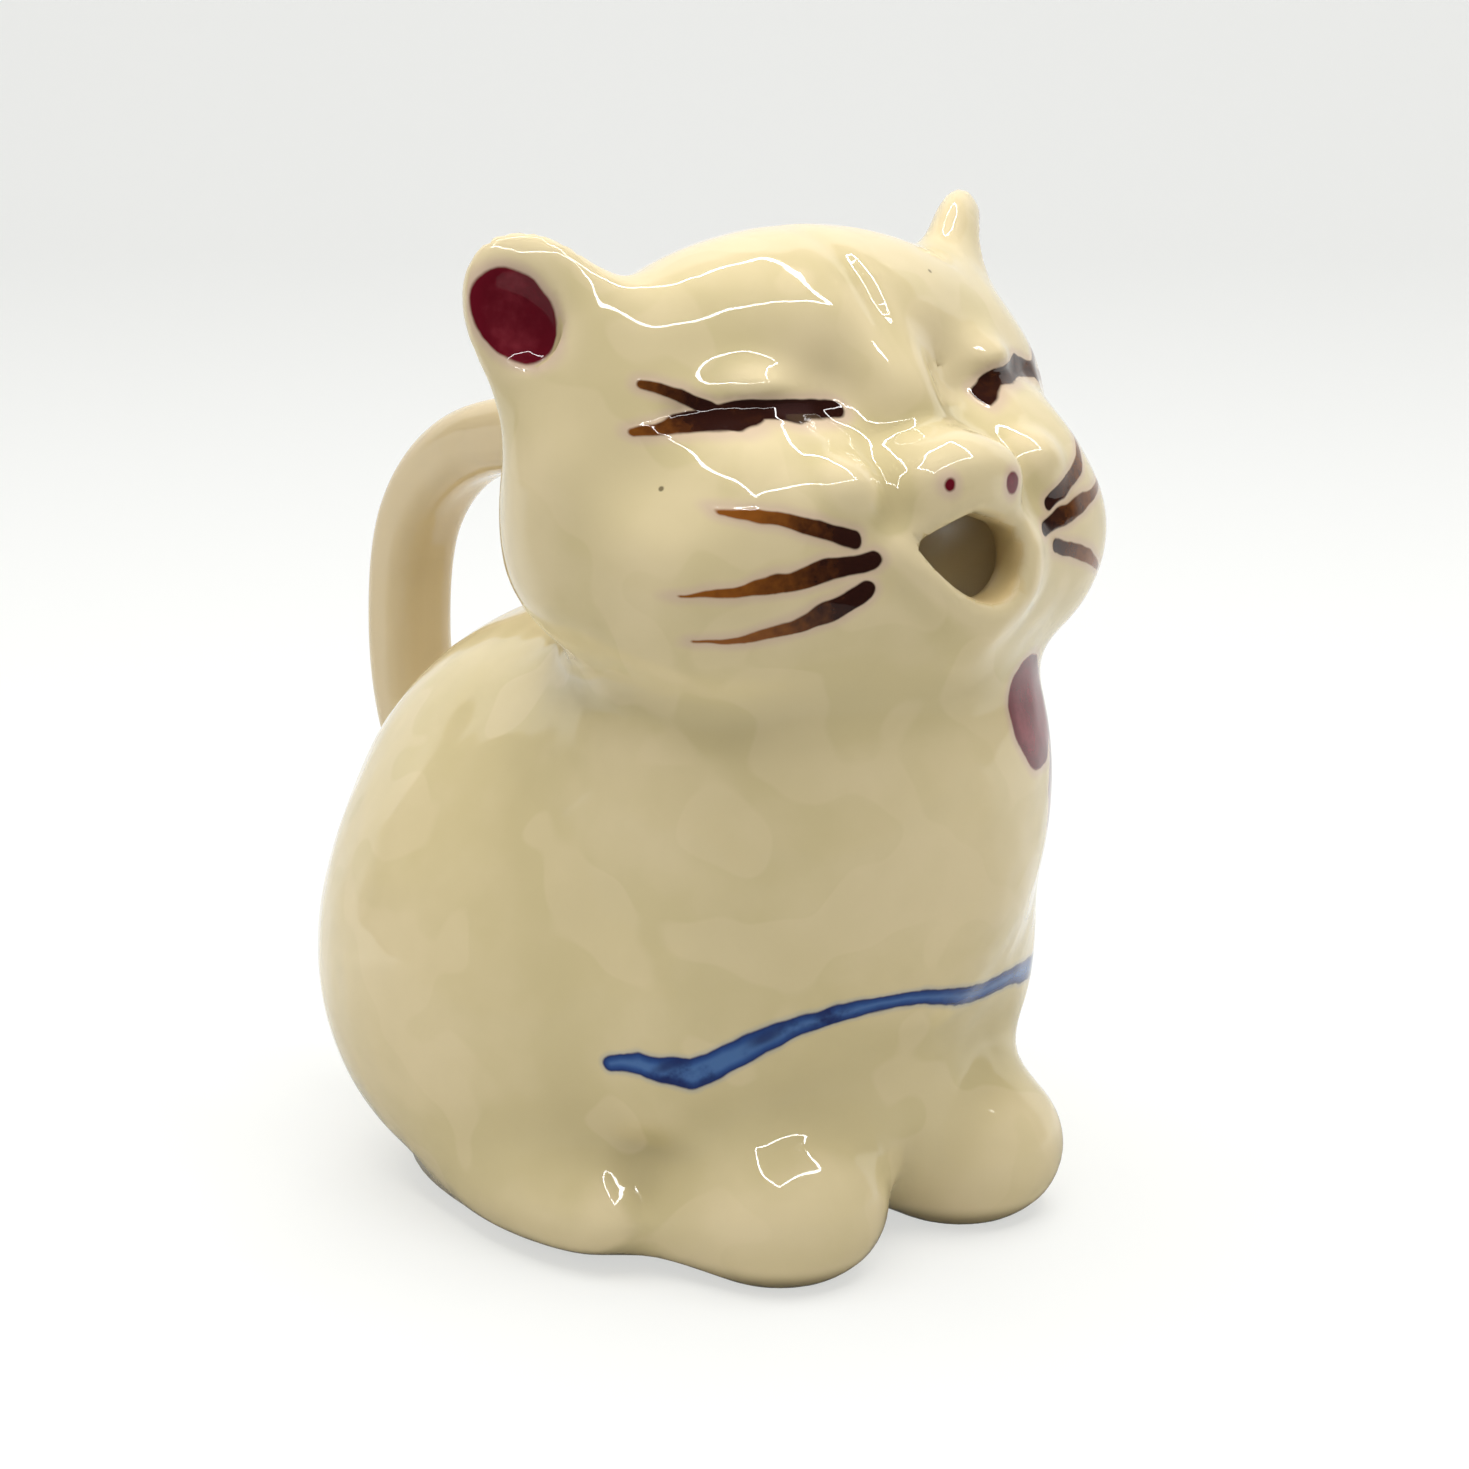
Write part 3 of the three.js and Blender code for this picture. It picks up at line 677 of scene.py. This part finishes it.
class Brushwork:
    """The painting on the front of the cat, where a hand-held brush wavers a little."""

    def __init__(self, glaze):
        waver = glaze.noise(glaze.place, WAVER_SCALE, 1.0, output=1)
        waver = glaze.vector("MULTIPLY_ADD", waver, (WAVER_REACH,) * 3, (-WAVER_REACH / 2,) * 3)
        self.glaze = glaze
        self.x, self.y, self.z = glaze.parts(glaze.vector("ADD", glaze.place, waver))
        self.front = self.y.ramp(-14.0, -20.0) * glaze.outside
        self.right_face = glaze.spot(self.x * -1, self.z)
        self.left_face = glaze.spot(self.x, self.z)
        turn = self.x.math("ARCTAN2", self.x, CHEST_AXIS_Y - self.y)
        self.chest = glaze.spot(turn * CHEST_RADIUS, self.z)

    def iron(self):
        """The closed eyes, their lashes and the whiskers in brown, darkest where the brush sets down."""
        glaze, front = self.glaze, self.front
        strokes = []
        for face, side_strokes in ((self.right_face, RIGHT_STROKES), (self.left_face, LEFT_STROKES)):
            for start_thin, end_thin, marks in side_strokes:
                gap, along = brushed(glaze, face, marks)
                strokes.append((gap, along, along * (end_thin - start_thin) + start_thin))
        nearest = closest([gap for gap, along, thinness in strokes])
        glaze.brush(BLEED, nearest.ramp(1.3, 0.1) * front * 0.5)
        for gap, along, thinness in strokes:
            stain = (thinness * 1.15 + (glaze.grain - 0.5) * 0.5).ramp(0.15, 1.0)
            iron = glaze.painted(IRON_DARK, IRON_LIGHT, stain)
            glaze.brush(iron, glaze.ragged(gap, 0.1).ramp(0.14, -0.14) * front)
        glaze.relief = glaze.relief + nearest.ramp(0.4, -0.2) * front * 0.1
        eye_gap, eye_along, _ = strokes[0]
        # Painted reflection: a grey band along the middle of the closed eye stroke.
        eye_sheen = eye_gap.ramp(-0.35, -0.65) * eye_along.ramp(0.08, 0.2) * eye_along.ramp(0.6, 0.4)
        glaze.brush(IRON_PAINTED_SHEEN, eye_sheen * 0.3)

    def in_ear(self):
        """The gap from the red patch in the dish of each ear, and where it may go."""
        glaze = self.glaze
        yaw = math.radians(EAR["yaw"])
        side = self.x.math("ABSOLUTE", self.x)
        place = glaze.node("ShaderNodeCombineXYZ", {}, {0: side, 1: self.y, 2: self.z})
        away = glaze.vector("SUBTRACT", place, EAR["centre"])
        across = glaze.along(away, (math.cos(yaw), math.sin(yaw), 0))
        rise = glaze.along(away, (0, 0, 1))
        depth = glaze.along(away, (math.sin(yaw), -math.cos(yaw), 0))
        facing = glaze.parts(glaze.node("ShaderNodeNewGeometry", {}, {}, output="Normal"))[1]
        gap = oval_gap(glaze, glaze.spot(across, rise), *EAR_PATCH)
        return gap, depth.ramp(-4.0, -2.0) * facing.ramp(0.1, -0.1)

    def crimson(self):
        """The nostrils, the ears and the bow in red."""
        glaze = self.glaze
        bow = closest(
            [oval_gap(glaze, self.chest, *spot) for spot in BOW_LOOPS]
            + [brushed(glaze, self.chest, marks)[0] for marks in BOW_TAILS]
            + [oval_gap(glaze, self.chest, *BOW_KNOT)])
        for gap, where in (
            (oval_gap(glaze, self.right_face, *RIGHT_NOSTRIL), self.front),
            (oval_gap(glaze, self.left_face, *LEFT_NOSTRIL), self.front),
            self.in_ear(),
            (bow, self.front),
        ):
            ragged = glaze.ragged(gap, 0.15)
            glaze.brush(BLEED, ragged.ramp(1.4, 0.0) * where * 0.6)
            wash = glaze.drift * 1.1 + (glaze.grain - 0.5) * 0.4 - ragged.ramp(-1.6, 0.0) * 0.3
            crimson = glaze.painted(CRIMSON, CRIMSON_LIGHT, wash.ramp(0.35, 0.9))
            glaze.brush(crimson, ragged.ramp(0.18, -0.18) * where)

    def cobalt(self):
        """The blue band round the front, with a darker edge and two dark blots."""
        glaze = self.glaze
        gap, _ = brushed(glaze, self.chest, BAND_MARKS)
        ragged = glaze.ragged(gap, 0.2)
        wash = (glaze.drift + (glaze.grain - 0.5) * 0.3).ramp(0.22, 0.5)
        cobalt = glaze.painted(COBALT_DARK, COBALT, wash * ragged.ramp(-0.05, -0.5))
        cobalt = glaze.painted(cobalt, COBALT_LIGHT, ragged.ramp(-0.4, -1.3) * wash * 0.6)
        for spot in BAND_BLOTS:
            blot = oval_gap(glaze, self.chest, *spot).ramp(0.5, -0.5)
            cobalt = glaze.painted(cobalt, COBALT_DARK, blot * 0.8)
        glaze.brush(COBALT_LIGHT, ragged.ramp(0.8, 0.0) * 0.25)
        glaze.brush(cobalt, ragged.ramp(0.18, -0.18) * glaze.outside)


body_glaze = CreamGlaze("cream_glaze_painted")
brushwork = Brushwork(body_glaze)
brushwork.iron()
brushwork.crimson()
brushwork.cobalt()
body.data.materials.append(body_glaze.fired())
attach(body, "root")
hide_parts("cat_body")

# Handle
# A strap with a rounded-rectangular section, cast by itself, bent and stuck on with slip
# behind the head and on the rump. It carries the same cream glaze, a little browner.

HANDLE_WIDTH = 10.2
HANDLE_THICKNESS = 9.5
HANDLE_CORNER = 3.6
HANDLE_TOP = 88.8
HANDLE_REACH = 52.38
HANDLE_REACH_HEIGHT = 60
HANDLE_SHOULDER = 22
HANDLE_FOOT = 30
HANDLE_SINK = 6
HANDLE_BITE = 1.5
HANDLE_LOW = (-7, -8, 24)
HANDLE_HIGH = (7, 60, 97)
HANDLE_STEP = 0.8
HANDLE_CREAM = paint(192, 169, 131)
HEAD_BACK = CRANIUM["centre"][1] + CRANIUM["half"][1]
RUMP_BACK = RUMP["centre"][1] + RUMP["half"][1]
ROUTE_STEPS = 60
ROUTE_SLACK = 0.5
POINTS_AT_ONCE = 20000

handle_route = np.array([
    (HEAD_BACK - HANDLE_SINK, HANDLE_TOP),
    (HEAD_BACK + HANDLE_SHOULDER, HANDLE_TOP + 0.2),
    (HANDLE_REACH - 13, HANDLE_TOP - 5),
    (HANDLE_REACH - 3, HANDLE_TOP - 15),
    (HANDLE_REACH, HANDLE_REACH_HEIGHT),
    (HANDLE_REACH - 2, HANDLE_REACH_HEIGHT - 14),
    (RUMP_BACK, HANDLE_FOOT + 5),
    (RUMP_BACK - HANDLE_SINK, HANDLE_FOOT),
])


def smooth_route(points, steps):
    """A centripetal Catmull-Rom curve through the points, as (y, z) places along it."""
    ends = np.vstack([2 * points[0] - points[1], points, 2 * points[-1] - points[-2]])
    pieces = []
    for before, start, end, after in zip(ends, ends[1:], ends[2:], ends[3:]):
        lead, span, trail = [
            np.linalg.norm(b - a) ** 0.5 for a, b in ((before, start), (start, end), (end, after))]
        leave = ((start - before) / lead - (end - before) / (lead + span) + (end - start) / span) * span
        arrive = ((end - start) / span - (after - start) / (span + trail) + (after - end) / trail) * span
        share = np.linspace(0, 1, steps, endpoint=False)[:, None]
        pieces.append(
            (2 * share ** 3 - 3 * share ** 2 + 1) * start + (share ** 3 - 2 * share ** 2 + share) * leave
            + (3 * share ** 2 - 2 * share ** 3) * end + (share ** 3 - share ** 2) * arrive)
    return np.vstack(pieces + [points[-1:]])


route = smooth_route(handle_route, ROUTE_STEPS)
route_ahead = np.gradient(route, axis=0)
route_ahead /= np.linalg.norm(route_ahead, axis=1)[:, None]


def strap(points):
    """The distance to the handle strap, measured square to its route."""
    nearest = np.concatenate([
        np.argmin(((part[:, None, 1:] - route) ** 2).sum(axis=2), axis=1)
        for part in np.array_split(points, max(1, len(points) // POINTS_AT_ONCE))])
    away = points[:, 1:] - route[nearest]
    ahead = route_ahead[nearest]
    across = away[:, 0] * ahead[:, 1] - away[:, 1] * ahead[:, 0]
    half = (HANDLE_WIDTH / 2, HANDLE_THICKNESS / 2)
    side = rounded(np.stack([points[:, 0], across], axis=1), half, HANDLE_CORNER)
    return np.maximum(side, np.abs((away * ahead).sum(axis=1)) - ROUTE_SLACK)


def handle_clay(points):
    """The strap, ending a little way into the wall of the casting."""
    return np.maximum(strap(points), -(outer_skin(points) + HANDLE_BITE))


handle = clay_piece("glazed_handle", handle_clay, strap, HANDLE_LOW, HANDLE_HIGH, HANDLE_STEP)
handle_glaze = CreamGlaze("cream_glaze_handle")
handle_glaze.brush(HANDLE_CREAM, 0.5)
handle.data.materials.append(handle_glaze.fired())
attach(handle, "root")
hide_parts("handle")

# Studio
# A white table that runs up into a white backdrop, inside a light tent whose front is open.
# Four lines of small lamps along the tent's roof leave thin bright loops in the glaze.

TABLE_FRONT = 0.2
TABLE_BACK = 0.9
TABLE_HALF_WIDTH = 2
BACKDROP_HEIGHT = 1.2
SWEEP = 0.25
SWEEP_STEPS = 12
TURN_TO_CAMERA = math.radians(-40.9)
AHEAD = Vector((-math.sin(TURN_TO_CAMERA), math.cos(TURN_TO_CAMERA), 0))
PAPER = paint(238, 238, 236)
PAPER_LIT = paint(253, 254, 252)
PAPER_DIM = paint(90, 90, 86)
TENT_CLOTH = paint(250, 250, 246)
OPENING_SIDE = (math.sin(TURN_TO_CAMERA) * 0.95, -math.cos(TURN_TO_CAMERA) * 0.95, 0.31)
WALL_GLOW = 0.62
WALL_MIRRORED = 1.0
OPENING_GLOW = 0.36
OPENING_MIRRORED = 0.08


def backdrop():
    """A floor that curves up behind the object, square to the camera."""
    across = Vector((AHEAD.y, -AHEAD.x, 0))
    profile = [(-TABLE_FRONT, 0.0)]
    for step in range(SWEEP_STEPS + 1):
        angle = math.pi / 2 * step / SWEEP_STEPS
        profile.append((TABLE_BACK + SWEEP * math.sin(angle), SWEEP * (1 - math.cos(angle))))
    profile.append((TABLE_BACK + SWEEP, BACKDROP_HEIGHT))
    points = []
    for away, height in profile:
        for side in (-TABLE_HALF_WIDTH, TABLE_HALF_WIDTH):
            points.append(AHEAD * away + across * side + Vector((0, 0, height)))
    faces = [(2 * row, 2 * row + 1, 2 * row + 3, 2 * row + 2) for row in range(len(profile) - 1)]
    mesh = bpy.data.meshes.new("table")
    mesh.from_pydata(points, [], faces)
    mesh.shade_smooth()
    piece = bpy.data.objects.new("table", mesh)
    bpy.context.collection.objects.link(piece)
    return piece


# The paper is lit white for the camera. In the glaze it is white only behind the cat.

paper = Shader(bpy.data.materials.new("white_paper"))
paper.surface.inputs["Base Color"].default_value = PAPER
paper.surface.inputs["Roughness"].default_value = 0.9
paper.surface.inputs["Specular IOR Level"].default_value = 0.1
for_camera = paper.node("ShaderNodeLightPath", {}, {}, output="Is Camera Ray")
for_glaze = Wire(paper, for_camera.socket.node.outputs["Is Glossy Ray"])
paper_place = paper.node("ShaderNodeTexCoord", {}, {}, output="Object")
behind = paper.along(paper_place, AHEAD).ramp(-0.03, 0.06)
lit = paper.painted(PAPER_DIM, PAPER_LIT, for_camera.most(behind))
glow = paper.node("ShaderNodeEmission", {}, {"Color": lit})
both = paper.node(
    "ShaderNodeMixShader", {},
    {0: for_camera * 0.62 + for_glaze * 0.8, 1: Wire(paper, paper.surface.outputs[0]), 2: glow})
paper.feed(paper.tree.nodes["Material Output"].inputs["Surface"], both)
table = backdrop()
table.data.materials.append(paper.owner)

world = bpy.data.worlds.new("tent")
bpy.context.scene.world = world
tent = Shader(world, "Background")
tent.surface.inputs["Color"].default_value = TENT_CLOTH
sight = tent.node("ShaderNodeTexCoord", {}, {}, output="Generated")
for_glaze = tent.node("ShaderNodeLightPath", {}, {}, output="Is Glossy Ray")
opening = for_glaze * (OPENING_MIRRORED - OPENING_GLOW) + OPENING_GLOW
wall = for_glaze * (WALL_MIRRORED - WALL_GLOW) + WALL_GLOW
share = (tent.along(sight, OPENING_SIDE) + for_glaze * 0.6).ramp(0.15, 0.27)
tent.feed(tent.surface.inputs["Strength"], opening * share + wall * (1 - share))


def lamp(name, place, aim, width, length, power):
    """A flat rectangular lamp at a place, facing its aim."""
    light = bpy.data.lights.new(name, "AREA")
    light.shape = "RECTANGLE"
    light.size = width
    light.size_y = length
    light.energy = power
    fitting = bpy.data.objects.new(name, light)
    fitting.location = place
    fitting.rotation_euler = (Vector(aim) - Vector(place)).to_track_quat("-Z", "Y").to_euler()
    bpy.context.collection.objects.link(fitting)
    return fitting


ROOF_CENTRE = Vector((-0.03, -0.07, 0.5))
ROOF_HALF = (0.24, 0.2)
STRIP_WIDTH = 0.014
STRIP_POWER = 0.6
for name, offset, size in (
    ("strip_left", (-ROOF_HALF[0], 0, 0), (STRIP_WIDTH, 2 * ROOF_HALF[1])),
    ("strip_right", (ROOF_HALF[0], 0, 0), (STRIP_WIDTH, 2 * ROOF_HALF[1])),
    ("strip_front", (0, -ROOF_HALF[1], 0), (2 * ROOF_HALF[0], STRIP_WIDTH)),
    ("strip_back", (0, ROOF_HALF[1], 0), (2 * ROOF_HALF[0], STRIP_WIDTH)),
):
    place = ROOF_CENTRE + Vector(offset)
    lamp(name, place, place - Vector((0, 0, 1)), *size, STRIP_POWER)

PANEL_SIZE = 1.0
PANEL_AIM = (0, 0, 0.06)
for name, place, power in (
    ("roof_panel", (0.0, 0.05, 0.95), 5.1),
    ("left_panel", (-0.95, 0.15, 0.45), 0.75),
    ("right_panel", (0.85, -0.35, 0.5), 0.9),
):
    lamp(name, place, PANEL_AIM, PANEL_SIZE, PANEL_SIZE, power).visible_glossy = False

CAMERA_PLACE = Vector((-0.2747, -0.3311, 0.1666))
CAMERA_TARGET = Vector((0, -0.014, 0.0565))
camera = bpy.data.cameras.new("photo_camera")
camera.lens = 88.2
camera.sensor_width = 36.0
camera_stand = bpy.data.objects.new("photo_camera", camera)
camera_stand.location = CAMERA_PLACE
camera_stand.rotation_euler = (CAMERA_TARGET - CAMERA_PLACE).to_track_quat("-Z", "Y").to_euler()
bpy.context.collection.objects.link(camera_stand)
bpy.context.scene.camera = camera_stand
bpy.context.scene.view_settings.view_transform = "Standard"
